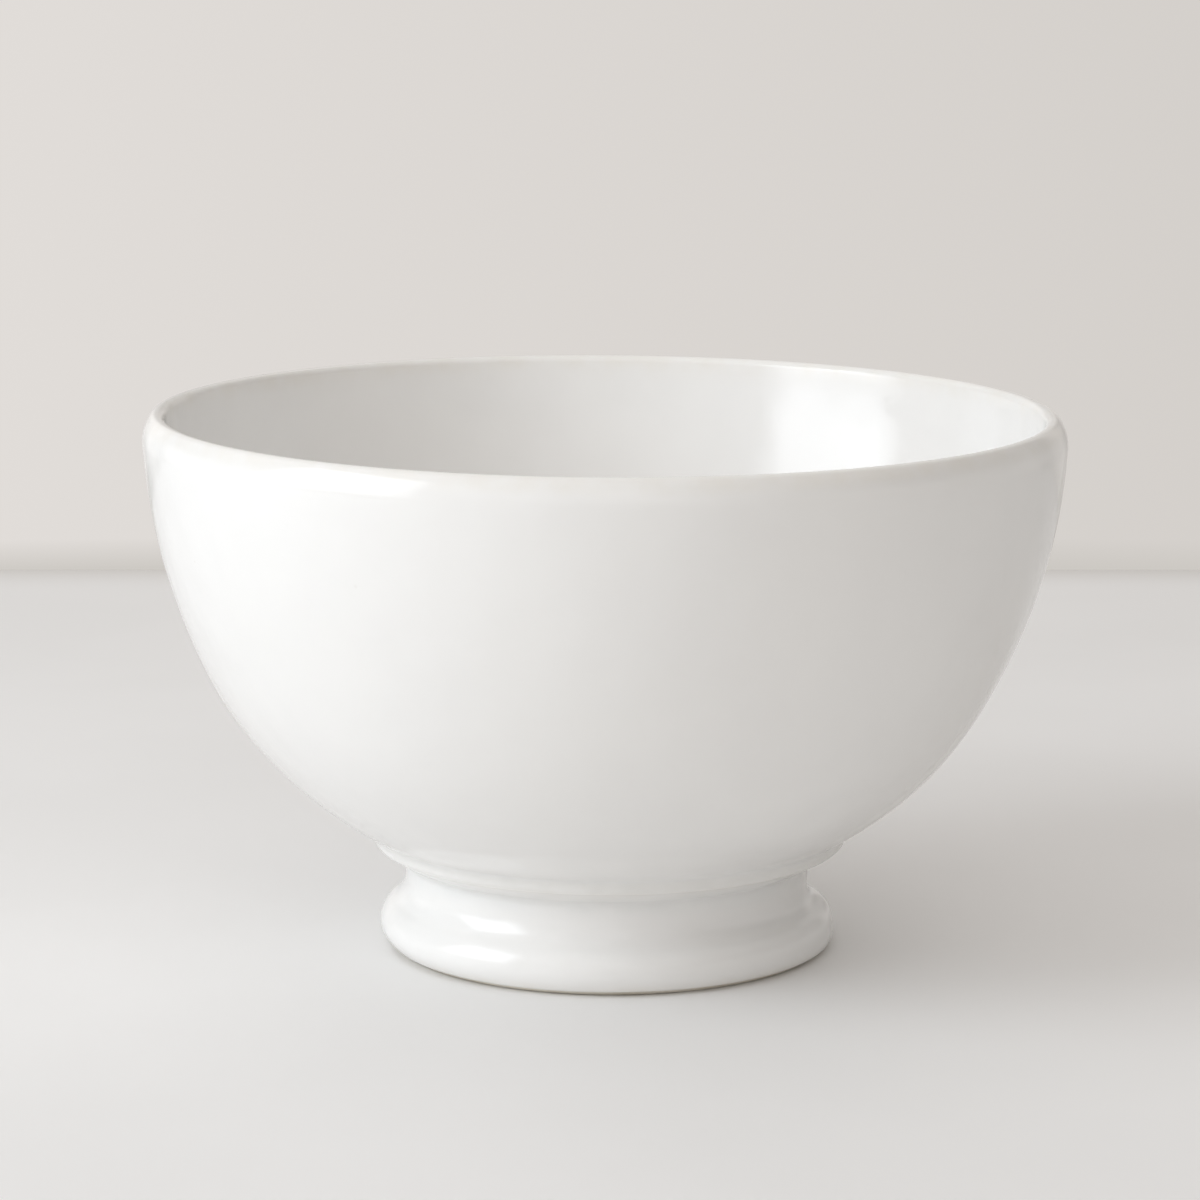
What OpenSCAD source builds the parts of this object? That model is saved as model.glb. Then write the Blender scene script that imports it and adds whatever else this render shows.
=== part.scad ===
// Footed latte bowl in glazed stoneware: a round cup on a waisted foot ring that is luted to its underside.
// Every surface is turned about the Z axis, and the table is the plane z = 0.
// The outline is a chain of tangent arcs, and the clay is that outline moved in by the thickness of the glaze.

/* [Cup] */
// Outside diameter at the widest point, just under the lip
rim_d = 152.4; // [140:0.2:164]
// Height from the table to the top of the lip
height = 90.5; // [86:0.5:96]
// Height of the cup's underside above the table, in the middle of the foot
cup_lift = 12; // [11:0.1:13]
// Diameter of the flat in the middle of that underside
flat_d = 20; // [14:0.5:26]
// Angle below level that the wall faces where its upper curve meets its lower one
curve_change = 28; // [25:0.5:32]
// Angle below level that the wall faces where the lip's shoulder starts
wall_lean = 3.2; // [2:0.1:4]

/* [Lip and inside] */
// Radius of the rounded top of the lip
lip_r = 1.3; // [1:0.05:1.6]
// Radius of the shoulder that leads from the wall up to the lip
shoulder_r = 6.5; // [4.5:0.25:7.5]
// Angle above level that the shoulder faces where the lip's top starts
shoulder_turn = 38; // [32:1:44]
// Thickness of the wall where its two curves meet
wall_t = 4.2; // [3.6:0.1:4.8]
// Thickness of the cup's bottom in the middle
bottom_t = 5; // [4.4:0.1:6]
// Angle above level that the inner wall faces where it leaves the lip
inner_lean = 1.5; // [0.5:0.25:3]

/* [Foot] */
// Outside diameter of the roll round the foot
foot_d = 76.2; // [74.5:0.1:78]
// How far the dry ring that the foot stands on lies inside the roll
stand_step = 2.75; // [2.3:0.05:3.1]
// Radius of the roll
roll_r = 4.6; // [4.2:0.1:5]
// How far the neck lies inside the roll
neck_depth = 4.3; // [3.6:0.1:5]
// Radius of the hollow between the roll and the neck, where the neck is long enough for it
cove_r = 4.9; // [4:0.1:5.6]
// How far the collar under the cup stands out past the roll
collar_step = 1.4; // [0.7:0.1:2.4]
// Radius of the collar's rounded edge
bead_r = 1.15; // [1:0.05:1.3]
// Drop of the middle of that edge below the wall over it
bead_drop = 0.5; // [0.3:0.05:0.7]
// Slope of the collar's underside from level
collar_slope = 28; // [23:1:33]
// Radius of the crease between the collar and the neck
neck_crease_r = 0.5; // [0.3:0.05:0.9]
// Radius of the crease between the cup and the collar
cup_crease_r = 0.75; // [0.6:0.05:1]

/* [Hollow of the foot] */
// Thickness of the foot ring's wall at the neck
ring_t = 4.3; // [3.5:0.1:5.5]
// Angle by which the inside of the ring widens downwards
recess_draft = 4; // [2:0.5:6]
// Radius of the fillet between the ring and the cup's underside
recess_fillet_r = 2; // [1.4:0.1:2.8]
// Radius of the clay edges on both sides of the dry ring
edge_r = 0.8; // [0.6:0.05:1]

/* [Glaze and slip] */
// Thickness of the glaze
glaze_t = 0.3; // [0.2:0.05:0.4]
// Thickness of the slip that holds the foot
slip_t = 0.4; // [0.25:0.05:0.5]
// Height above the table at which the outer glaze ends
dry_h = 0.9; // [0.7:0.05:1.2]
// Height above the table at which the glaze in the hollow ends
dry_recess_h = 1.6; // [1.2:0.1:2.2]

/* [Hidden] */
$fn = 144;
// Furthest that a drawn curve strays from the true one
fineness = 0.01;
clay = [0.90, 0.87, 0.81];
slip = [0.84, 0.80, 0.73];
glaze = [0.97, 0.965, 0.95];

rim_r = rim_d / 2;
flat_r = flat_d / 2;
foot_r = foot_d / 2;
stand_r = foot_r - stand_step;
neck_r = foot_r - neck_depth;
collar_r = foot_r + collar_step;
recess_r = neck_r - ring_t;

// An arc is [centre, radius, first angle, last angle]. An angle is the way that the surface faces there.
// A hollow arc has a minus before its radius. So each point is the centre plus the radius that way,
// and a surface that lies deeper in the clay has that depth taken from its radius.
function way(angle) = [cos(angle), sin(angle)];
function facing(from, to) = atan2(to[1] - from[1], to[0] - from[0]);
function spot(arc, angle, depth = 0) = arc[0] + (arc[1] - depth) * way(angle);

// The middle of the arc of radius r that carries on smoothly from a given one at an angle
function follow(centre, old_r, r, angle) = centre + (old_r - r) * way(angle);

// Where two circles cross, on the right hand of the way from the first to the second
function crossing(c1, r1, c2, r2) =
    let (gap = norm(c2 - c1),
         ahead = (c2 - c1) / gap,
         along = (gap * gap + r1 * r1 - r2 * r2) / (2 * gap),
         aside = sqrt(r1 * r1 - along * along))
    c1 + along * ahead + aside * [ahead[1], -ahead[0]];

// The height of a circle's underside at the distance x from the axis
function underside(centre, r, x) = centre[1] - sqrt(r * r - pow(x - centre[0], 2));

// The points of one arc at a depth in the clay, and those of a list of arcs
function turn(arc) = arc[3] - arc[2];
function steps(arc) = ceil(abs(turn(arc)) / (2 * acos(1 - fineness / abs(arc[1]))));
function trace(arc, depth) =
    [for (i = [0 : steps(arc)]) spot(arc, arc[2] + turn(arc) * i / steps(arc), depth)];
function path(arcs, depth = 0) = [for (arc = arcs) each trace(arc, depth)];
function reversed(list) = [for (i = [len(list) - 1 : -1 : 0]) list[i]];

// The lip's shoulder and its top
shoulder_c = [rim_r - shoulder_r, height - lip_r - (shoulder_r - lip_r) * sin(shoulder_turn)];
lip_c = follow(shoulder_c, shoulder_r, lip_r, shoulder_turn);

// The wall's two curves. Their radii are those at which the chain of arcs, from the shoulder down, levels out
// at the edge of the flat: so much of the way for each unit of the upper radius, and of the lower one.
upper_way = way(-curve_change) - way(-wall_lean);
lower_way = way(-90) - way(-curve_change);
whole_way = [flat_r, cup_lift] - spot([shoulder_c, shoulder_r], -wall_lean);
side_r = cross(whole_way, lower_way) / cross(upper_way, lower_way);
low_r = cross(upper_way, whole_way) / cross(upper_way, lower_way);
side_c = follow(shoulder_c, shoulder_r, side_r, -wall_lean);
low_c = follow(side_c, side_r, low_r, -curve_change);

// The inside's two curves: the upper one leaves the lip and reaches the wall's thickness where the outside
// changes its curve, and the lower one levels out on the bottom
inner_start = spot([lip_c, lip_r], 180 - inner_lean);
inner_change = spot([side_c, side_r], -curve_change, wall_t);
inner_chord = inner_change - inner_start;
inner_side_r = inner_chord * inner_chord / (2 * inner_chord * way(180 - inner_lean));
inner_side_c = inner_start + inner_side_r * way(180 - inner_lean);
inner_turn = facing(inner_change, inner_side_c);
inner_low_r = (inner_change[1] - cup_lift - bottom_t) / (1 - sin(inner_turn));
inner_low_c = inner_change + inner_low_r * way(inner_turn);

// The collar's edge, and the crease over it that the slip fills
bead_x = collar_r - bead_r;
bead_c = [bead_x, underside(low_c, low_r, bead_x) - bead_drop];
cup_crease_c = crossing(bead_c, bead_r + cup_crease_r, low_c, low_r + cup_crease_r);
cup_crease_start = facing(low_c, cup_crease_c);
bead_start = facing(bead_c, cup_crease_c);

// The collar's straight underside, and the crease where it meets the neck
collar_face = collar_slope - 90;
collar_end = spot([bead_c, bead_r], collar_face);
neck_crease_x = neck_r + neck_crease_r;
neck_crease_over = (neck_crease_r - (neck_crease_x - collar_end[0]) * cos(collar_face)) / sin(collar_face);
neck_crease_c = [neck_crease_x, collar_end[1] + neck_crease_over];

// The clay's edge beside the dry ring, and the roll that it ends
stand_edge_c = [stand_r, edge_r];
roll_x = foot_r - roll_r;
roll_c = [roll_x, edge_r + sqrt(pow(roll_r - glaze_t - edge_r, 2) - pow(roll_x - stand_r, 2))];
roll_end = facing(roll_c, stand_edge_c);
glaze_end = asin((dry_h - roll_c[1]) / roll_r);

// The hollow between the roll and the neck. The largest that fits is the one that starts at the crease.
roll_to_neck = [neck_r, neck_crease_c[1]] - roll_c;
largest_cove_r = (roll_to_neck * roll_to_neck - roll_r * roll_r) / (2 * (roll_r - roll_to_neck[0]));
hollow_r = min(cove_r, largest_cove_r);
cove_x = neck_r + hollow_r;
cove_c = [cove_x, roll_c[1] + sqrt(pow(roll_r + hollow_r, 2) - pow(cove_x - roll_x, 2))];
roll_start = facing(roll_c, cove_c);

// The hollow of the foot: a fillet under the cup, then a wall that widens downwards to the dry ring's edge
recess_face = recess_draft - 180;
recess_fillet_x = recess_r - recess_fillet_r;
recess_fillet_c = [recess_fillet_x, underside(low_c, low_r + recess_fillet_r, recess_fillet_x)];
recess_start = facing(low_c, recess_fillet_c);
function recess_wall(z, depth) =
    let (top = spot([recess_fillet_c, -recess_fillet_r], recess_face, depth))
    [top[0] + (top[1] - z) * tan(recess_draft), z];
recess_edge_end = recess_wall(edge_r * (1 + sin(recess_face)), glaze_t);
recess_edge_c = recess_edge_end - edge_r * way(recess_face);

// Where the foot's seat, a slip's thickness under the cup, comes out in the crease and in the fillet
seat_r = low_r + slip_t;
outer_seam = crossing(low_c, seat_r - glaze_t, cup_crease_c, cup_crease_r + glaze_t);
inner_seam = crossing(recess_fillet_c, recess_fillet_r + glaze_t, low_c, seat_r - glaze_t);
outer_split = facing(outer_seam, cup_crease_c);
inner_split = facing(inner_seam, recess_fillet_c);

// The glazed outline as arcs, from the cup's bottom over the lip and down to the foot. Where one passes straight
// up or straight out, it is in two, so that the height and the diameters come out exactly.
inside_arcs = [
    [inner_low_c, -inner_low_r, 90, inner_turn],
    [inner_side_c, -inner_side_r, inner_turn, 180 - inner_lean]
];
outside_arcs = [
    [lip_c, lip_r, 180 - inner_lean, 90],
    [lip_c, lip_r, 90, shoulder_turn],
    [shoulder_c, shoulder_r, shoulder_turn, 0],
    [shoulder_c, shoulder_r, 0, -wall_lean],
    [side_c, side_r, -wall_lean, -curve_change],
    [low_c, low_r, -curve_change, cup_crease_start]
];
seated_arc = [low_c, low_r, cup_crease_start, recess_start];
ceiling_arc = [low_c, low_r, recess_start, -90];
slip_crease_arc = [cup_crease_c, -cup_crease_r, cup_crease_start, outer_split];
foot_arcs = [
    [cup_crease_c, -cup_crease_r, outer_split, bead_start],
    [bead_c, bead_r, bead_start, collar_face],
    [neck_crease_c, -neck_crease_r, collar_face, 0],
    [cove_c, -hollow_r, 0, roll_start],
    [roll_c, roll_r, roll_start, 0],
    [roll_c, roll_r, 0, glaze_end]
];
slip_fillet_arc = [recess_fillet_c, -recess_fillet_r, recess_start, inner_split];
recess_arc = [recess_fillet_c, -recess_fillet_r, inner_split, recess_face];
seat_arc = [low_c, seat_r, facing(low_c, inner_seam), facing(low_c, outer_seam)];

inside_bottom = [0, cup_lift + bottom_t];
underside_middle = [0, cup_lift];

module revolve(outline) {
    rotate_extrude() polygon(outline);
}

// The cup's clay, under the glaze on both sides
module bowl() {
    color(clay) revolve(concat(
        [underside_middle + [0, glaze_t], inside_bottom - [0, glaze_t]],
        path(concat(inside_arcs, outside_arcs, [seated_arc, ceiling_arc]), glaze_t)
    ));
}

// The foot's clay: its seat fits the cup's round underside, and its dry ring stands on the table
module foot_ring() {
    color(clay) revolve(concat(
        path(concat([seat_arc], foot_arcs, [[roll_c, roll_r, glaze_end, roll_end]]), glaze_t),
        path([[stand_edge_c, edge_r, roll_end, -90], [recess_edge_c, edge_r, -90, recess_face]]),
        reversed(path([recess_arc], glaze_t))
    ));
}

// The slip between cup and foot, with its bead in the outer crease and in the inner fillet
module luting_slip() {
    color(slip) revolve(concat(
        path([seated_arc, slip_fillet_arc, seat_arc], glaze_t),
        reversed(path([slip_crease_arc], glaze_t))
    ));
}

// One skin of glaze over the inside, the lip, the outside and the foot, down to the dry ring
module glaze_coat() {
    coated_arcs = concat(inside_arcs, outside_arcs, [slip_crease_arc], foot_arcs);
    color(glaze) revolve(concat(
        [inside_bottom],
        path(coated_arcs),
        reversed(path(coated_arcs, glaze_t)),
        [inside_bottom - [0, glaze_t]]
    ));
}

// The patch of glaze in the hollow of the foot
module recess_glaze() {
    recess_arcs = concat([[low_c, low_r, -90, recess_start]], [slip_fillet_arc, recess_arc]);
    color(glaze) revolve(concat(
        [underside_middle],
        path(recess_arcs),
        [recess_wall(dry_recess_h, 0), recess_wall(dry_recess_h, glaze_t)],
        reversed(path(recess_arcs, glaze_t)),
        [underside_middle + [0, glaze_t]]
    ));
}

bowl();
foot_ring();
luting_slip();
glaze_coat();
recess_glaze();
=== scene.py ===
import math

import bpy
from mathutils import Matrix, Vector


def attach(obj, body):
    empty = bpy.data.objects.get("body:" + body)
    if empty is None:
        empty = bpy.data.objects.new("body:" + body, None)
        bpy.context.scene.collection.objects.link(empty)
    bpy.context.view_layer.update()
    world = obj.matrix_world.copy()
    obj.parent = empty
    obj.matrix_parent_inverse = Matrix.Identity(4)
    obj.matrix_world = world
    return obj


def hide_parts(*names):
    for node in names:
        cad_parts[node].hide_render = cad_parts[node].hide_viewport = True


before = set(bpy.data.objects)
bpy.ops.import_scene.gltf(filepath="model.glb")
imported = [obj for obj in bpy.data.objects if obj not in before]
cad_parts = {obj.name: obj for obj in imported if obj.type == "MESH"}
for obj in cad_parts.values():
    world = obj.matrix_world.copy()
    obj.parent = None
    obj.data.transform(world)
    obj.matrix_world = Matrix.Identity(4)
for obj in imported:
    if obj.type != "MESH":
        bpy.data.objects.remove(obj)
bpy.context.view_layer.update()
print("frame loaded:", sorted(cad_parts))

# A footed stoneware bowl, in metres. Its cup, its foot ring, the slip between them and both its glazes are
# turned one by one.
mm = 0.001
body = "root"
turning = {
    "steps": 180,  # how many times an outline is repeated on its way round the bowl
    "fineness": 0.004 * mm,  # how far a curve may bulge past the straight steps along it
    "weld": 0.002 * mm,  # points closer than this become one
    "leastStep": 1e-6 * mm,  # and a shorter step than this is left out
}


# Outlines are drawn in the X-Z plane and then turned about Z. An arc is (centre, radius, first angle, last
# angle), in degrees. An angle is the way the surface faces there, and a hollow arc has a minus before its
# radius. A depth is how far below the glaze's face a point lies. Names that end in C are centres, and names
# that end in R are radii.
def way(angle):
    return Vector((math.cos(math.radians(angle)), math.sin(math.radians(angle))))


def facing(start, end):  # the angle from one point to another
    return math.degrees(math.atan2(end.y - start.y, end.x - start.x))


def spot(centre, radius, angle, depth=0):  # a point on an arc, or at a depth under it
    return centre + (radius - depth) * way(angle)


def follow(centre, oldRadius, radius, angle):  # the middle of an arc that carries on smoothly
    return centre + (oldRadius - radius) * way(angle)


def crossing(firstC, firstR, nextC, nextR):  # where two circles meet, right of the way from the first
    gap = (nextC - firstC).length
    ahead = (nextC - firstC) / gap
    along = (gap * gap + firstR * firstR - nextR * nextR) / (2 * gap)
    aside = math.sqrt(firstR * firstR - along * along)
    return firstC + along * ahead + aside * Vector((ahead.y, -ahead.x))


def underside(centre, radius, x):  # the height of a circle's lower side
    return centre.y - math.sqrt(radius * radius - (x - centre.x) ** 2)


def trace(arcs, depth=0):  # the points along a chain of arcs
    points = []
    for centre, radius, first, last in arcs:
        step = math.degrees(2 * math.acos(1 - turning["fineness"] / abs(radius)))
        count = math.ceil(abs(last - first) / step)
        for i in range(count + 1):
            points.append(spot(centre, radius, first + (last - first) * i / count, depth))
    return points


# The cup: its shoulder and lip, then the two curves of its wall, then the two of its inside
cup = {
    "rimRadius": 76.2 * mm,
    "height": 90.5 * mm,
    "lift": 12 * mm,  # how high its underside is
    "flatRadius": 10 * mm,  # of the flat middle of its underside
    "curveChange": 28,  # how far down the wall faces where its upper curve ends
    "wallLean": 3.2,  # and where it starts
    "lipRadius": 1.3 * mm,
    "shoulderRadius": 6.5 * mm,
    "shoulderTurn": 38,  # how far up the shoulder faces where the lip starts
    "wall": 4.6 * mm,  # how thick it is where the curve changes
    "bottom": 5 * mm,
    "innerLean": 5.5,
}
lipR = cup["lipRadius"]
shoulderR = cup["shoulderRadius"]
shoulderC = Vector((
    cup["rimRadius"] - shoulderR,
    cup["height"] - lipR - (shoulderR - lipR) * math.sin(math.radians(cup["shoulderTurn"])),
))
lipC = follow(shoulderC, shoulderR, lipR, cup["shoulderTurn"])

# The wall's two curves, side and low, are large enough to lead together from the shoulder to the flat
upperWay = way(-cup["curveChange"]) - way(-cup["wallLean"])
lowerWay = way(-90) - way(-cup["curveChange"])
wholeWay = Vector((cup["flatRadius"], cup["lift"])) - spot(shoulderC, shoulderR, -cup["wallLean"])
sideR = wholeWay.cross(lowerWay) / upperWay.cross(lowerWay)
lowR = upperWay.cross(wholeWay) / upperWay.cross(lowerWay)
sideC = follow(shoulderC, shoulderR, sideR, -cup["wallLean"])
lowC = follow(sideC, sideR, lowR, -cup["curveChange"])

# Inside, one curve leaves the lip at its lean and ends where the wall has its thickness, and one goes on to
# the bottom
innerStart = spot(lipC, lipR, 180 - cup["innerLean"])
innerChange = spot(sideC, sideR, -cup["curveChange"], cup["wall"])
innerChord = innerChange - innerStart
innerSideR = innerChord.length_squared / (2 * innerChord.dot(way(180 - cup["innerLean"])))
innerSideC = innerStart + innerSideR * way(180 - cup["innerLean"])
innerTurn = facing(innerChange, innerSideC)
innerLowR = (innerChange.y - cup["lift"] - cup["bottom"]) / (1 - math.sin(math.radians(innerTurn)))
innerLowC = innerChange + innerLowR * way(innerTurn)

# The foot: collar, neck, roll and dry ring outside, and its hollow inside
foot = {
    "radius": 38.1 * mm,
    "rollRadius": 4.6 * mm,
    "neckDepth": 4.3 * mm,  # how far the neck lies inside the roll's widest place
    "coveRadius": 4.9 * mm,
    "collarStep": 1.4 * mm,  # and how far the collar reaches past it
    "beadRadius": 1.15 * mm,
    "beadDrop": 0.5 * mm,  # how far the middle of the collar's bead lies under the cup's face
    "collarSlope": 28,  # how steep the collar's underside is
    "neckCrease": 0.5 * mm,  # both creases under an even glaze
    "cupCrease": 0.75 * mm,
    "neckPool": 1.6 * mm,  # and with the glaze pooled in them
    "cupPool": 2.2 * mm,
    "standStep": 2.75 * mm,  # from the roll's widest place in to the middle of the standing edge
    "ringWall": 4.3 * mm,  # how thick the ring is between its neck and its hollow
    "draft": 4,  # how much the hollow opens downwards
    "fillet": 2 * mm,
    "edge": 0.8 * mm,  # the radius of both edges that it stands on
}
layers = {
    "glaze": 0.3 * mm,
    "slip": 0.4 * mm,
    "dryHeight": 0.9 * mm,  # where the glaze ends above the table outside
    "dryHollowHeight": 1.6 * mm,  # and in the hollow
}
skin = layers["glaze"]

# The collar's bead, and the neck under it
beadR = foot["beadRadius"]
beadX = foot["radius"] + foot["collarStep"] - beadR
beadC = Vector((beadX, underside(lowC, lowR, beadX) - foot["beadDrop"]))
collarFace = foot["collarSlope"] - 90
collarEnd = spot(beadC, beadR, collarFace)
neckX = foot["radius"] - foot["neckDepth"]


def cupCreaseMiddle(radius):  # of a crease that touches the cup and the bead
    return crossing(beadC, beadR + radius, lowC, lowR + radius)


def neckCreaseMiddle(radius):  # of a crease that touches the collar's underside and the neck
    slope = way(collarFace)
    x = neckX + radius
    return Vector((x, collarEnd.y + (radius - (x - collarEnd.x) * slope.x) / slope.y))


cupCreaseC = cupCreaseMiddle(foot["cupCrease"])
cupCreaseStart = facing(lowC, cupCreaseC)
beadStart = facing(beadC, cupCreaseC)
neckCreaseC = neckCreaseMiddle(foot["neckCrease"])

# The roll's clay runs into the edge that it stands on, and the cove leads up from the roll to the neck
rollR = foot["rollRadius"]
rollX = foot["radius"] - rollR
standEdgeC = Vector((foot["radius"] - foot["standStep"], foot["edge"]))
rollRise = math.sqrt((rollR - skin - foot["edge"]) ** 2 - (rollX - standEdgeC.x) ** 2)
rollC = Vector((rollX, foot["edge"] + rollRise))
rollEnd = facing(rollC, standEdgeC)
glazeEnd = math.degrees(math.asin((layers["dryHeight"] - rollC.y) / rollR))
coveX = neckX + foot["coveRadius"]
coveC = Vector((coveX, rollC.y + math.sqrt((rollR + foot["coveRadius"]) ** 2 - (coveX - rollX) ** 2)))
rollStart = facing(rollC, coveC)

# The hollow: a fillet under the cup, then a wall that widens downwards
hollowFace = foot["draft"] - 180
filletX = neckX - foot["ringWall"] - foot["fillet"]
filletC = Vector((filletX, underside(lowC, lowR + foot["fillet"], filletX)))
hollowStart = facing(lowC, filletC)


def hollowWall(z, depth):  # a point on that wall, or at a depth under it
    top = spot(filletC, -foot["fillet"], hollowFace, depth)
    return Vector((top.x + (top.y - z) * math.tan(math.radians(foot["draft"])), z))


hollowEdgeEnd = hollowWall(foot["edge"] * (1 + way(hollowFace).y), skin)
hollowEdgeC = hollowEdgeEnd - foot["edge"] * way(hollowFace)

# The foot's seat lies a slip's thickness under the cup, and the slip reaches into the crease and the fillet
seatR = lowR + layers["slip"]
outerSeam = crossing(lowC, seatR - skin, cupCreaseC, foot["cupCrease"] + skin)
innerSeam = crossing(filletC, foot["fillet"] + skin, lowC, seatR - skin)
outerSplit = facing(outerSeam, cupCreaseC)
innerSplit = facing(innerSeam, filletC)

# The arcs of every face: inside, over the lip and down, under the cup, down the foot and in its hollow
insideArcs = [
    (innerLowC, -innerLowR, 90, innerTurn),
    (innerSideC, -innerSideR, innerTurn, 180 - cup["innerLean"]),
]
outsideArcs = [
    (lipC, lipR, 180 - cup["innerLean"], 90),
    (lipC, lipR, 90, cup["shoulderTurn"]),
    (shoulderC, shoulderR, cup["shoulderTurn"], 0),
    (shoulderC, shoulderR, 0, -cup["wallLean"]),
    (sideC, sideR, -cup["wallLean"], -cup["curveChange"]),
    (lowC, lowR, -cup["curveChange"], cupCreaseStart),
]
seatedArc = (lowC, lowR, cupCreaseStart, hollowStart)
ceilingArc = (lowC, lowR, hollowStart, -90)
slipCreaseArc = (cupCreaseC, -foot["cupCrease"], cupCreaseStart, outerSplit)
footArcs = [
    (cupCreaseC, -foot["cupCrease"], outerSplit, beadStart),
    (beadC, beadR, beadStart, collarFace),
    (neckCreaseC, -foot["neckCrease"], collarFace, 0),
    (coveC, -foot["coveRadius"], 0, rollStart),
    (rollC, rollR, rollStart, 0),
    (rollC, rollR, 0, glazeEnd),
]
slipFilletArc = (filletC, -foot["fillet"], hollowStart, innerSplit)
hollowArc = (filletC, -foot["fillet"], innerSplit, hollowFace)
seatArc = (lowC, seatR, facing(lowC, innerSeam), facing(lowC, outerSeam))
insideBottom = Vector((0, cup["lift"] + cup["bottom"]))
undersideMiddle = Vector((0, cup["lift"]))
depthStep = Vector((0, skin))


# A piece is turned as on a wheel: one vertex is extruded along the outline, and the chain is spun about Z
def turnPiece(name, outline, closed=False):
    bpy.ops.object.select_all(action="DESELECT")
    bpy.ops.mesh.primitive_plane_add(size=mm, location=(0, 0, 0))
    piece = bpy.context.object
    piece.name = piece.data.name = name
    bpy.ops.object.mode_set(mode="EDIT")
    bpy.ops.mesh.merge(type="CENTER")  # leaves one vertex
    bpy.ops.transform.translate(value=(outline[0].x, 0, outline[0].y))
    points = outline + outline[:1] if closed else outline
    for here, there in zip(points, points[1:]):
        step = there - here
        if step.length > turning["leastStep"]:
            bpy.ops.mesh.extrude_vertices_move(TRANSFORM_OT_translate={"value": (step.x, 0, step.y)})
    bpy.ops.mesh.select_all(action="SELECT")
    bpy.ops.mesh.spin(steps=turning["steps"], angle=math.tau, center=(0, 0, 0), axis=(0, 0, 1))
    bpy.ops.mesh.select_all(action="SELECT")
    bpy.ops.mesh.remove_doubles(threshold=turning["weld"])
    bpy.ops.mesh.normals_make_consistent(inside=False)
    bpy.ops.object.mode_set(mode="OBJECT")
    bpy.ops.object.shade_smooth()
    print("turned", name, len(piece.data.polygons), "faces")
    return piece


# The bowl was made by hand: its rim falls a little to one side, its foot sits a little off its axis, and
# the neck reaches further down on the right
handwork = {
    "rimFall": 0.9 * mm,  # at its lowest place
    "fallStart": 22 * mm,  # how high up the fall starts
    "collarAside": 0.85 * mm,  # how far each part of the foot lies to the right
    "rollAside": 0.2 * mm,
    "standAside": 1.1 * mm,
    "neckDrop": 2.2 * mm,
    "neckHeight": 9.9 * mm,
    "neckReach": 2.2 * mm,  # how far above and below that height the drop fades
    "across": 17,  # the cage's points
    "levels": 57,
    "margin": 20 * mm,  # how far the cage stands out past the bowl
}


def ramp(value, start, end):  # a smooth rise from 0 to 1
    share = min(1, max(0, (value - start) / (end - start)))
    return share * share * (3 - 2 * share)


def sideShift(z):  # how far to the right
    stand = (handwork["standAside"] - handwork["rollAside"]) * (1 - ramp(z, 0, rollC.y))
    collar = (handwork["collarAside"] - handwork["rollAside"]) * ramp(z, coveC.y, beadC.y)
    wall = handwork["collarAside"] * ramp(z, beadC.y, innerChange.y)
    return handwork["rollAside"] + stand + collar - wall


def heightShift(x, z):  # how far up
    across = (x / cup["rimRadius"] + 1) / 2
    fall = handwork["rimFall"] * across * ramp(z, handwork["fallStart"], cup["height"])
    away = (z - handwork["neckHeight"]) / handwork["neckReach"]
    drop = handwork["neckDrop"] * ramp(x, 0, neckX) * math.exp(-away * away)
    return -fall - drop


bpy.ops.object.select_all(action="DESELECT")
bpy.ops.object.add(type="LATTICE", location=(0, 0, cup["height"] / 2))
cage = bpy.context.object
cage.name = "handworkCage"
cageWidth = 2 * (cup["rimRadius"] + handwork["margin"])
cage.scale = (cageWidth, cageWidth, cup["height"] + 2 * handwork["margin"])
cage.data.points_u = cage.data.points_v = handwork["across"]
cage.data.points_w = handwork["levels"]
bpy.context.view_layer.update()
for point in cage.data.points:
    place = cage.matrix_world @ point.co
    moved = place + Vector((sideShift(place.z), 0, heightShift(place.x, place.z)))
    point.co_deform = cage.matrix_world.inverted() @ moved


def dressPiece(piece, node):
    piece.modifiers.new("handwork", "LATTICE").object = cage
    bpy.context.view_layer.objects.active = piece
    bpy.ops.object.modifier_apply(modifier="handwork")
    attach(piece, body)
    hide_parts(node)


# The glaze runs thin off edges and pools in creases
flow = {
    "edgeSpread": 2.2,  # how far from the middle of an edge it is thin, in that edge's radii
    "creaseSpread": 2.6,  # and how far from the middle of a crease it is thick
    "hemSpread": 1.8 * mm,  # how far above its lower end it is thin
}


def nearness(distance, radius, spread):
    return 1 - ramp(distance, radius, radius * spread)


def markFlow(piece):  # notes at each vertex how thin or pooled the glaze is, for its finish
    thin = piece.data.attributes.new("thin", "FLOAT", "POINT")
    pool = piece.data.attributes.new("pool", "FLOAT", "POINT")
    for i, vertex in enumerate(piece.data.vertices):
        place = Vector((vertex.co.xy.length, vertex.co.z))
        lip = nearness((place - lipC).length, lipR, flow["edgeSpread"])
        bead = nearness((place - beadC).length, beadR, flow["edgeSpread"])
        hem = 1 - ramp(place.y, layers["dryHeight"], layers["dryHeight"] + flow["hemSpread"])
        cupCrease = nearness((place - cupCreaseC).length, foot["cupCrease"] + skin, flow["creaseSpread"])
        neckCrease = nearness((place - neckCreaseC).length, foot["neckCrease"] + skin, flow["creaseSpread"])
        thin.data[i].value = max(lip, bead, hem)
        pool.data[i].value = max(cupCrease, neckCrease)


def roundEnd(middle, start, end):  # where a glaze stops
    return trace([(middle, skin / 2, start, end)])


# The glaze lies thicker in both creases, so its face takes wider curves there than the clay does
cupPoolC = cupCreaseMiddle(foot["cupPool"])
cupPoolStart = facing(lowC, cupPoolC)
cupPoolEnd = facing(beadC, cupPoolC)

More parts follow.
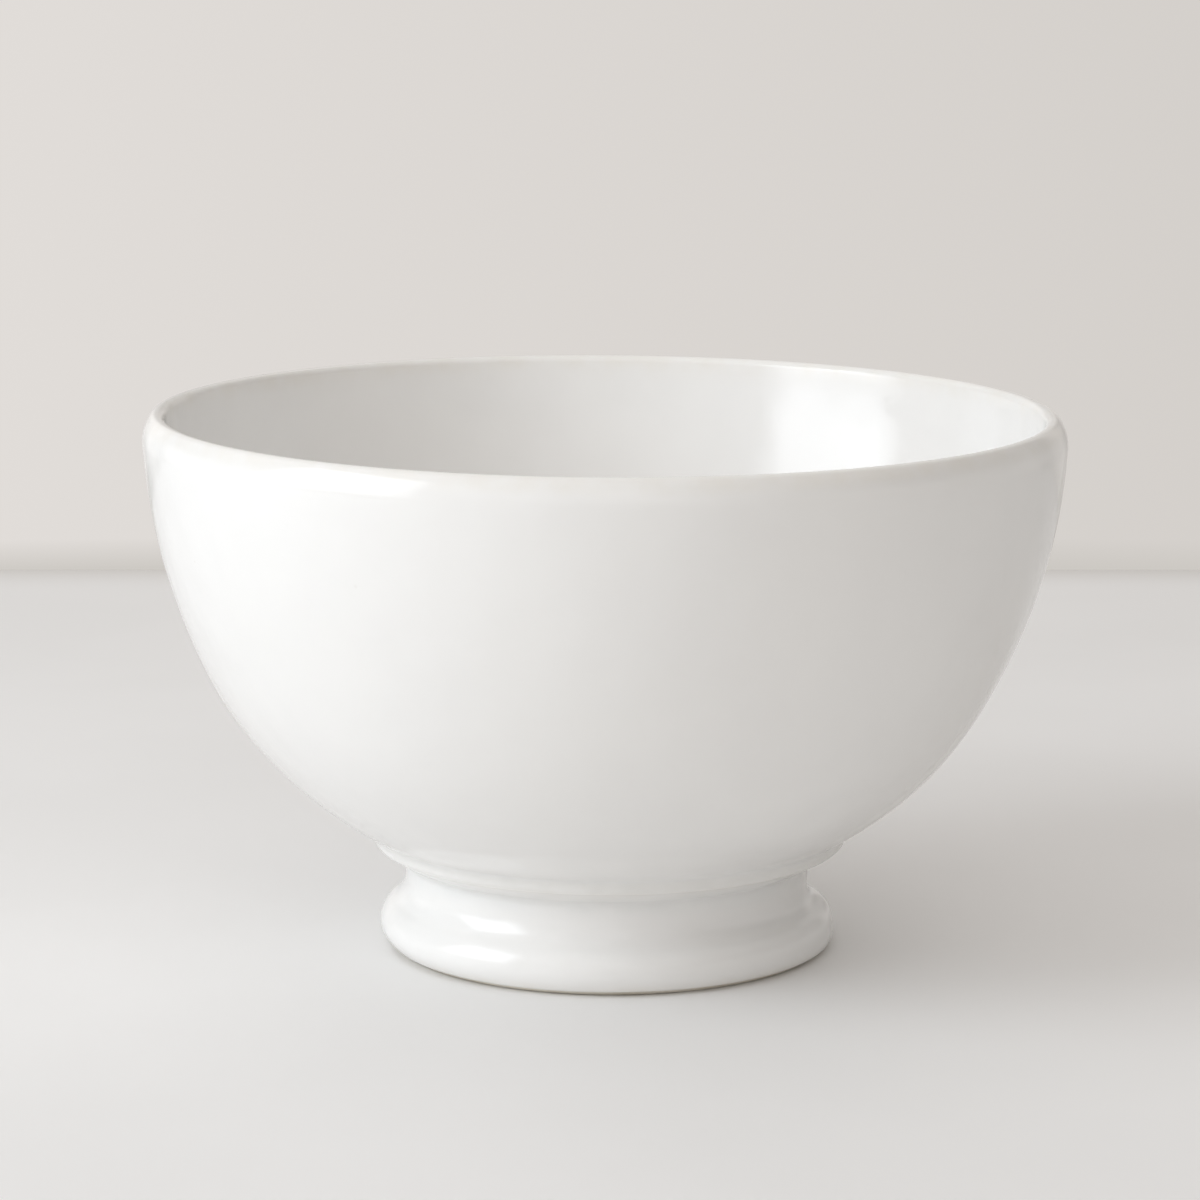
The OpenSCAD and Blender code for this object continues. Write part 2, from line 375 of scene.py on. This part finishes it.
# The coat goes from the bottom inside along its face to its end above the table, and back along the clay
coatFace = insideArcs + outsideArcs[:-1] + [
    (lowC, lowR, -cup["curveChange"], cupPoolStart),
    (cupPoolC, -foot["cupPool"], cupPoolStart, cupPoolEnd),
    (beadC, beadR, cupPoolEnd, collarFace),
    (neckCreaseMiddle(foot["neckPool"]), -foot["neckPool"], collarFace, 0),
] + footArcs[-3:]
coatArcs = insideArcs + outsideArcs + [slipCreaseArc] + footArcs
coat = turnPiece(
    "glazeCoat",
    [insideBottom]
    + trace(coatFace)
    + roundEnd(spot(rollC, rollR, glazeEnd, skin / 2), glazeEnd, glazeEnd - 180)
    + trace(coatArcs, skin)[::-1]
    + [insideBottom - depthStep],
)
markFlow(coat)
dressPiece(coat, "glaze_coat")

# The clay of the cup lies under the coat, the slip and the glaze in the hollow
clayCup = turnPiece(
    "clayCup",
    [insideBottom - depthStep]
    + trace(insideArcs + outsideArcs + [seatedArc, ceilingArc], skin)
    + [undersideMiddle + depthStep],
)
dressPiece(clayCup, "bowl")

# The clay of the foot goes from its seat down the outside, round the ring that it stands on and up again
clayFoot = turnPiece(
    "clayFootRing",
    trace([seatArc] + footArcs + [(rollC, rollR, glazeEnd, rollEnd)], skin)
    + trace([(standEdgeC, foot["edge"], rollEnd, -90), (hollowEdgeC, foot["edge"], -90, hollowFace)])
    + trace([hollowArc], skin)[::-1],
    closed=True,
)
dressPiece(clayFoot, "foot_ring")

# The slip fills the gap between the cup and the foot
joint = turnPiece(
    "slipJoint",
    trace([seatedArc, slipFilletArc, seatArc], skin) + trace([slipCreaseArc], skin)[::-1],
    closed=True,
)
dressPiece(joint, "luting_slip")

# The glaze in the hollow ends a little above the table too
hollowArcs = [(lowC, lowR, -90, hollowStart), slipFilletArc, hollowArc]
hollowCoat = turnPiece(
    "hollowGlaze",
    [undersideMiddle]
    + trace(hollowArcs)
    + roundEnd(hollowWall(layers["dryHollowHeight"], skin / 2), hollowFace, hollowFace + 180)
    + trace(hollowArcs, skin)[::-1]
    + [undersideMiddle + depthStep],
)
markFlow(hollowCoat)
dressPiece(hollowCoat, "recess_glaze")
bpy.data.objects.remove(cage)
print("pieces bent and dressed")


# Finishes. Every pattern is laid out in the pieces' own metres.
def put(tree, kind, inputs=(), **settings):  # a new node, with its sockets set or linked
    node = tree.nodes.new("ShaderNode" + kind)
    for name, value in settings.items():
        setattr(node, name, value)
    for name, value in dict(inputs).items():
        if isinstance(value, bpy.types.NodeSocket):
            tree.links.new(value, node.inputs[name])
        else:
            node.inputs[name].default_value = value
    return node


def newFinish(name):  # a material, its nodes, its surface and the place on the piece
    finish = bpy.data.materials.new(name)
    finish.use_nodes = True
    tree = finish.node_tree
    return finish, tree, tree.nodes["Principled BSDF"], put(tree, "TexCoord").outputs["Object"]


def noise(tree, where, size, detail, distortion=0):  # size is how wide its lumps are
    settings = {"Vector": where, "Scale": 1 / size, "Detail": detail, "Distortion": distortion}
    return put(tree, "TexNoise", settings).outputs["Fac"]


def remap(tree, value, low, high, toLow=0, toHigh=1):
    settings = {"Value": value, "From Min": low, "From Max": high, "To Min": toLow, "To Max": toHigh}
    return put(tree, "MapRange", settings).outputs["Result"]


def times(tree, first, second):
    node = put(tree, "Math", {0: first, 1: second}, operation="MULTIPLY")
    return node.outputs["Value"]


def blendColours(tree, amount, first, second):
    node = put(tree, "Mix", data_type="RGBA")  # its sockets for colours share names, so they go by number
    for socket, value in ((0, amount), (6, first), (7, second)):
        if isinstance(value, bpy.types.NodeSocket):
            tree.links.new(value, node.inputs[socket])
        else:
            node.inputs[socket].default_value = value
    return node.outputs[2]


def patches(tree, where, size, detail, low, high, least=0, most=1, distortion=0):
    return remap(tree, noise(tree, where, size, detail, distortion), low, high, least, most)


def specks(tree, where, size, rare, rarest, core, rim, strength):  # a spot in a few of many cells
    cells = put(tree, "TexVoronoi", {"Vector": where, "Scale": 1 / size})
    few = remap(tree, cells.outputs["Color"], rare, rarest)
    return times(tree, few, remap(tree, cells.outputs["Distance"], core, rim, strength, 0))


def raised(tree, pattern, height, strength=1, under=None):
    settings = {"Height": pattern, "Distance": height, "Strength": strength}
    if under:
        settings["Normal"] = under
    return put(tree, "Bump", settings).outputs["Normal"]


def lumps(tree, where, size, detail, height, strength=1, under=None):
    return raised(tree, noise(tree, where, size, detail), height, strength, under)


whiteGlaze = {
    "colour": (0.905, 0.90, 0.885, 1),
    "cloudColour": (0.893, 0.888, 0.875, 1),
    "clouds": {"size": 24 * mm, "detail": 4, "low": 0.4, "high": 0.62},
    "thinColour": (0.85, 0.82, 0.76, 1),
    "poolColour": (0.83, 0.84, 0.83, 1),
    # how strongly the thin and the pooled glaze show, from place to place
    "uneven": {"size": 5 * mm, "detail": 3, "low": 0.35, "high": 0.65, "least": 0.15, "most": 0.5},
    "speckColour": (0.42, 0.35, 0.26, 1),
    "specks": {"size": 9 * mm, "rare": 0.86, "rarest": 0.9, "core": 0.02, "rim": 0.045, "strength": 0.8},
    "roughness": {"size": 14 * mm, "detail": 5, "low": 0.35, "high": 0.7, "least": 0.045, "most": 0.11},
    "wave": {"size": 22 * mm, "detail": 0, "height": 0.25 * mm},
    "ripple": {"size": 8 * mm, "detail": 0, "height": 0.14 * mm},
    "calm": 0.25,  # how much of both is left where the glaze is thin
    "peel": {"size": 1.4 * mm, "detail": 1, "height": 0.008 * mm},
}


def makeGlaze():
    finish, tree, surface, where = newFinish("whiteGlaze")
    clouds = patches(tree, where, **whiteGlaze["clouds"])
    colour = blendColours(tree, clouds, whiteGlaze["colour"], whiteGlaze["cloudColour"])
    uneven = patches(tree, where, **whiteGlaze["uneven"])
    thin = put(tree, "Attribute", attribute_name="thin").outputs["Fac"]
    pool = put(tree, "Attribute", attribute_name="pool").outputs["Fac"]
    colour = blendColours(tree, times(tree, thin, uneven), colour, whiteGlaze["thinColour"])
    colour = blendColours(tree, times(tree, pool, uneven), colour, whiteGlaze["poolColour"])
    spots = specks(tree, where, **whiteGlaze["specks"])
    colour = blendColours(tree, spots, colour, whiteGlaze["speckColour"])
    tree.links.new(colour, surface.inputs["Base Color"])
    tree.links.new(patches(tree, where, **whiteGlaze["roughness"]), surface.inputs["Roughness"])
    calm = remap(tree, thin, 0, 1, 1, whiteGlaze["calm"])
    normal = lumps(tree, where, **whiteGlaze["wave"], strength=calm)
    normal = lumps(tree, where, **whiteGlaze["ripple"], strength=calm, under=normal)
    normal = lumps(tree, where, **whiteGlaze["peel"], under=normal)
    tree.links.new(normal, surface.inputs["Normal"])
    return finish


bareClay = {
    "colour": (0.80, 0.76, 0.68, 1),
    "darkColour": (0.70, 0.65, 0.56, 1),
    "tones": {"size": 9 * mm, "detail": 6, "low": 0.35, "high": 0.65},
    "ironColour": (0.22, 0.14, 0.08, 1),
    "iron": {"size": 1.6 * mm, "rare": 0.7, "rarest": 0.75, "core": 0.08, "rim": 0.16, "strength": 0.7},
    "roughness": 0.85,
    "ringWidth": 4 * mm,
    "ringWobble": 1.5,
    "ringHeight": 0.02 * mm,
    "grain": {"size": 0.5 * mm, "detail": 4, "height": 0.05 * mm},
}


def makeClay():
    finish, tree, surface, where = newFinish("bareClay")
    tones = patches(tree, where, **bareClay["tones"])
    colour = blendColours(tree, tones, bareClay["colour"], bareClay["darkColour"])
    colour = blendColours(tree, specks(tree, where, **bareClay["iron"]), colour, bareClay["ironColour"])
    tree.links.new(colour, surface.inputs["Base Color"])
    surface.inputs["Roughness"].default_value = bareClay["roughness"]
    settings = {"Vector": where, "Scale": 1 / bareClay["ringWidth"], "Distortion": bareClay["ringWobble"]}
    rings = put(tree, "TexWave", settings, wave_type="RINGS", rings_direction="Z").outputs["Fac"]
    normal = raised(tree, rings, bareClay["ringHeight"])
    normal = lumps(tree, where, **bareClay["grain"], under=normal)
    tree.links.new(normal, surface.inputs["Normal"])
    return finish


joinSlip = {
    "colour": (0.72, 0.67, 0.58, 1),
    "paleColour": (0.79, 0.75, 0.66, 1),
    "streaks": {"size": 3 * mm, "detail": 5, "low": 0.35, "high": 0.65, "distortion": 1},
    "roughness": 0.9,
    "smears": {"size": 1.5 * mm, "detail": 3, "height": 0.08 * mm},
}


def makeSlip():
    finish, tree, surface, where = newFinish("joinSlip")
    streaks = patches(tree, where, **joinSlip["streaks"])
    colour = blendColours(tree, streaks, joinSlip["colour"], joinSlip["paleColour"])
    tree.links.new(colour, surface.inputs["Base Color"])
    surface.inputs["Roughness"].default_value = joinSlip["roughness"]
    tree.links.new(lumps(tree, where, **joinSlip["smears"]), surface.inputs["Normal"])
    return finish


finished = (
    (makeGlaze(), (coat, hollowCoat)),
    (makeClay(), (clayCup, clayFoot)),
    (makeSlip(), (joint,)),
)
for finish, pieces in finished:
    for piece in pieces:
        piece.data.materials.append(finish)
print("finishes done")

# The table reaches back as far as in the photograph
table = {
    "half": 2,  # half of how wide it is
    "back": 0.361,
    "colour": (0.89, 0.885, 0.878, 1),
    "cloudColour": (0.868, 0.863, 0.855, 1),
    "clouds": {"size": 0.12, "detail": 3, "low": 0.4, "high": 0.6},
    # A darker colour is painted along the table's back edge: painted shade where the table meets the wall
    "creaseShadeColour": (0.72, 0.70, 0.675, 1),
    "creaseShadeDepth": 0.03,  # how far the shade along its back edge reaches forwards
    "roughness": 0.6,
}
bpy.ops.object.select_all(action="DESELECT")
bpy.ops.mesh.primitive_plane_add(size=2 * table["half"], location=(0, table["back"] - table["half"], 0))
floor = bpy.context.object
floor.name = "paleTable"
bpy.ops.object.transform_apply(location=True, rotation=False, scale=False)
finish, tree, surface, where = newFinish("paleTable")
colour = blendColours(tree, patches(tree, where, **table["clouds"]), table["colour"], table["cloudColour"])
depth = put(tree, "SeparateXYZ", {"Vector": where}).outputs["Y"]
# painted shade along the table's back edge, darkest at the edge itself
creaseShade = remap(tree, depth, table["back"] - table["creaseShadeDepth"], table["back"])
colour = blendColours(tree, times(tree, creaseShade, creaseShade), colour, table["creaseShadeColour"])
tree.links.new(colour, surface.inputs["Base Color"])
surface.inputs["Roughness"].default_value = table["roughness"]
floor.data.materials.append(finish)
print("table laid")

# The wall behind it and the air are painted on the world. Places on them are the X or Z of a direction
# that is one long.
room = {
    # The wall is painted lighter on the left, where the window's light falls on it, and darker on the
    # right: painted light and shade
    "litWallLeft": (0.752, 0.72, 0.692, 1),
    "shadedWallRight": (0.66, 0.63, 0.60, 1),
    "spread": 0.14,  # how far to either side the left colour turns into the right one
    # The wall's foot is painted darker: painted shade where the wall meets the table
    "creaseShadeColour": (0.60, 0.575, 0.54, 1),
    "creaseShadeLow": -0.1715,  # the wall is darker at its foot, between these two
    "creaseShadeHigh": -0.164,
    "wallTop": 0.1,  # where the wall starts to turn into plain air
    "wallEnd": 0.3,
    "air": (1.0, 0.96, 0.925, 1),
    "fromLeft": 0.08,  # how bright the air is at each side
    "fromRight": 0.04,
    "fromAbove": 0.78,  # and how much more it is overhead, in front and behind
    "fromFront": 0.82,
    "fromBehind": 0.75,
    "shapes": {"size": 0.35, "detail": 2, "low": 0.35, "high": 0.65, "least": 0.65, "most": 1.2},
}
world = bpy.data.worlds.new("room")
world.use_nodes = True
tree = world.node_tree
direction = put(tree, "TexCoord").outputs["Generated"]
aim = put(tree, "SeparateXYZ", {"Vector": direction})
level = remap(tree, aim.outputs["X"], -1, 1, room["fromLeft"], room["fromRight"])
# What a side adds grows with the square of how far a direction points to it
for axis, end, side in (("Z", 1, "fromAbove"), ("Y", -1, "fromFront"), ("Y", 1, "fromBehind")):
    toward = remap(tree, aim.outputs[axis], 0, end)
    level = put(tree, "Math", {0: times(tree, toward, toward), 1: room[side], 2: level},
                operation="MULTIPLY_ADD").outputs["Value"]
seen = put(tree, "LightPath")
shapes = patches(tree, direction, **room["shapes"])  # dim and bright, for the glaze to reflect
reflected = seen.outputs["Is Glossy Ray"]
furnished = put(tree, "Mix", {"Factor": reflected, "A": 1, "B": shapes}).outputs["Result"]
sky = tree.nodes["Background"]
sky.inputs["Color"].default_value = room["air"]
tree.links.new(times(tree, level, furnished), sky.inputs["Strength"])
# painted light and shade: the wall lighter towards the window on the left
across = remap(tree, aim.outputs["X"], -room["spread"], room["spread"])
# painted shade at the wall's foot, just above the table's back edge
upwards = remap(tree, aim.outputs["Z"], room["creaseShadeLow"], room["creaseShadeHigh"])
wallColour = blendColours(tree, across, room["litWallLeft"], room["shadedWallRight"])
wallColour = blendColours(tree, upwards, room["creaseShadeColour"], wallColour)
wall = put(tree, "Background", {"Color": wallColour, "Strength": furnished})
# Only the camera and reflections see the wall, and the air lights everything
shown = put(tree, "Math", {0: seen.outputs["Is Camera Ray"], 1: reflected}, operation="MAXIMUM")
shown = shown.outputs["Value"]
shown = times(tree, shown, remap(tree, aim.outputs["Z"], room["wallTop"], room["wallEnd"], 1, 0))
mix = put(tree, "MixShader", {0: shown, 1: sky.outputs[0], 2: wall.outputs[0]})
tree.links.new(mix.outputs[0], tree.nodes["World Output"].inputs["Surface"])
bpy.context.scene.world = world
print("room done")

# A tall window on the left, a little in front, whose light fades out at its edges
window = {
    "azimuth": 201,
    "distance": 1.0,
    "width": 0.68,
    "low": 0.15,
    "high": 1.0,
    "blur": 0.2,  # how wide its fading edges are
    "power": 13.1,
    "colour": (0.90, 0.95, 1.0),
}


def fade(tree, across, width):  # whole in the middle, and nothing at both ends, where across is 0 and 1
    away = put(tree, "Math", {0: across, 1: 0.5}, operation="SUBTRACT").outputs["Value"]
    away = put(tree, "Math", {0: away}, operation="ABSOLUTE").outputs["Value"]
    return remap(tree, away, 0.5 - window["blur"] / width, 0.5, 1, 0)


azimuth = math.radians(window["azimuth"])
place = Vector((math.cos(azimuth), math.sin(azimuth), 0)) * window["distance"]
bpy.ops.object.light_add(type="AREA", location=(place.x, place.y, (window["low"] + window["high"]) / 2))
lamp = bpy.context.object
lamp.name = "window"
lamp.data.shape = "RECTANGLE"
lamp.data.size = window["width"] + window["blur"]
lamp.data.size_y = window["high"] - window["low"] + window["blur"]
lamp.data.energy = window["power"]
lamp.data.color = window["colour"]
lamp.rotation_euler = (math.radians(90), 0, azimuth + math.radians(90))
lamp.data.use_nodes = True
tree = lamp.data.node_tree
pane = put(tree, "SeparateXYZ", {"Vector": put(tree, "NewGeometry").outputs["Parametric"]})
across = fade(tree, pane.outputs["X"], lamp.data.size)
upwards = fade(tree, pane.outputs["Y"], lamp.data.size_y)
tree.links.new(times(tree, across, upwards), tree.nodes["Emission"].inputs["Strength"])
print("window placed")

# The camera stands where the photograph was taken from
photo = {
    "size": 1200,  # in pixels, as the focal length is
    "focal": 4271,
    "sensor": 36,  # in millimetres
    "back": 0.7,
    "up": 0.1857,
    "aside": -0.00085,
    "pitch": 10.33,
}
bpy.ops.object.camera_add(
    location=(photo["aside"], -photo["back"], photo["up"]),
    rotation=(math.radians(90 - photo["pitch"]), 0, 0),
)
camera = bpy.context.object
camera.data.sensor_width = photo["sensor"]
camera.data.lens = photo["focal"] / photo["size"] * photo["sensor"]
bpy.context.scene.camera = camera
bpy.context.scene.view_settings.view_transform = "Standard"
print("camera set")

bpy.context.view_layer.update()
